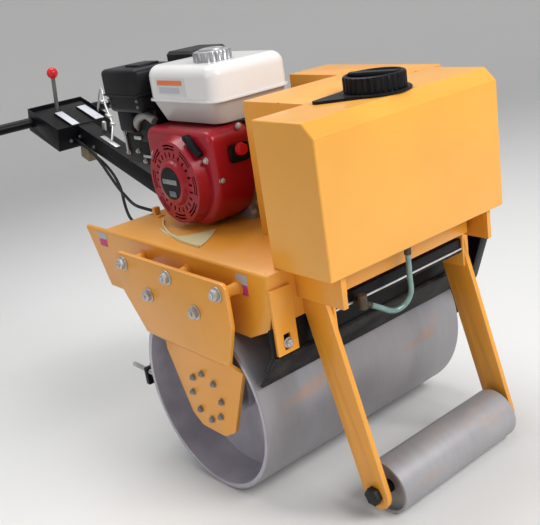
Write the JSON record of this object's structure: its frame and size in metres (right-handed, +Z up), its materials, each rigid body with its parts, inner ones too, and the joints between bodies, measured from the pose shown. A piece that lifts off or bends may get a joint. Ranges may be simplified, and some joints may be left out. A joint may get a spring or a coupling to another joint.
{
  "type": "walk-behind road roller",
  "caption": "Walk-behind road roller with a wide steel drum, a guide roller on arms, a water tank, a petrol engine and a handle pole.",
  "frame": {"origin": "middle of the machine's footprint on the ground, as it parks", "axes": "+X forward, from the handle to the guide roller, +Y to the left, +Z up"},
  "size_m": [1.4672, 0.668, 0.94],
  "materials": {
    "yellow_paint": "gloss",
    "drum_steel": "worn, a little rust",
    "roller_steel": "worn, a little rust",
    "zinc_steel": "satin",
    "black_rubber": "matt",
    "cast_grey": "cast",
    "black_paint": "semi-gloss",
    "black_plastic": "matt",
    "brass_fitting": "dull",
    "engine_alloy": "cast",
    "red_paint": "gloss",
    "white_paint": "gloss",
    "red_knob": "gloss",
    "cream_plastic": "matt",
    "hose_plastic": "translucent"
  },
  "bodies": {
    "frame": {"air_cleaner": "black_plastic", "belt_guard": "yellow_paint", "cable_grommet": "black_rubber", "cable_stop": "yellow_paint", "carburettor": "engine_alloy", "carrier_plate_left": "yellow_paint", "carrier_plate_right": "yellow_paint", "control_box": "black_paint", "control_cable_1": "black_plastic", "control_cable_2": "black_plastic", "deck": "yellow_paint", "drip_lip": "cream_plastic", "drive_cover": "black_paint", "engine_crankcase": "engine_alloy", "engine_cylinder": "engine_alloy", "engine_fan_cover": "red_paint", "engine_recoil_starter": "red_paint", "engine_starter_pull": "black_plastic", "engine_switch_knob": "red_knob", "engine_switch_mount": "black_plastic", "frame_side_left": "yellow_paint", "frame_side_right": "yellow_paint", "front_scraper_blade": "black_rubber", "front_scraper_brackets": "yellow_paint", "front_scraper_holder": "black_paint", "front_shelf": "yellow_paint", "fuel_cap": "zinc_steel", "fuel_tank": "white_paint", "gearbox": "cast_grey", "guide_axle": "zinc_steel", "hand_grips": "black_rubber", "handle_bar": "black_paint", "handle_pole": "black_paint", "hub_left": "cast_grey", "hub_right": "cast_grey", "muffler": "black_paint", "pole_base_plate": "black_paint", "rear_scraper_blade": "black_rubber", "rear_scraper_hangers": "black_paint", "rear_scraper_rods": "zinc_steel", "roller_arm_left": "yellow_paint", "roller_arm_right": "yellow_paint", "rubber_mounts_left": "black_rubber", "rubber_mounts_right": "black_rubber", "spray_bar": "black_paint", "spray_pipe": "zinc_steel", "spray_tap": "brass_fitting", "tank_cap": "black_plastic", "tank_outlet": "brass_fitting", "throttle_lever": "zinc_steel", "travel_lever": "red_knob", "water_hose": "hose_plastic", "water_tank": "yellow_paint"},
    "drum": {"drum": "drum_steel"},
    "guide_roller": {"guide_roller": "roller_steel"}
  },
  "joints": [
    {"name": "drum_turn", "type": "hinge", "parent": "frame", "child": "drum", "pos_m": [0.28549, 0, 0.213], "axis": [0, 1, 0], "continuous": true},
    {"name": "guide_roller_turn", "type": "hinge", "parent": "frame", "child": "guide_roller", "pos_m": [0.67188, 0, 0.054], "axis": [0, 1, 0], "continuous": true}
  ]
}
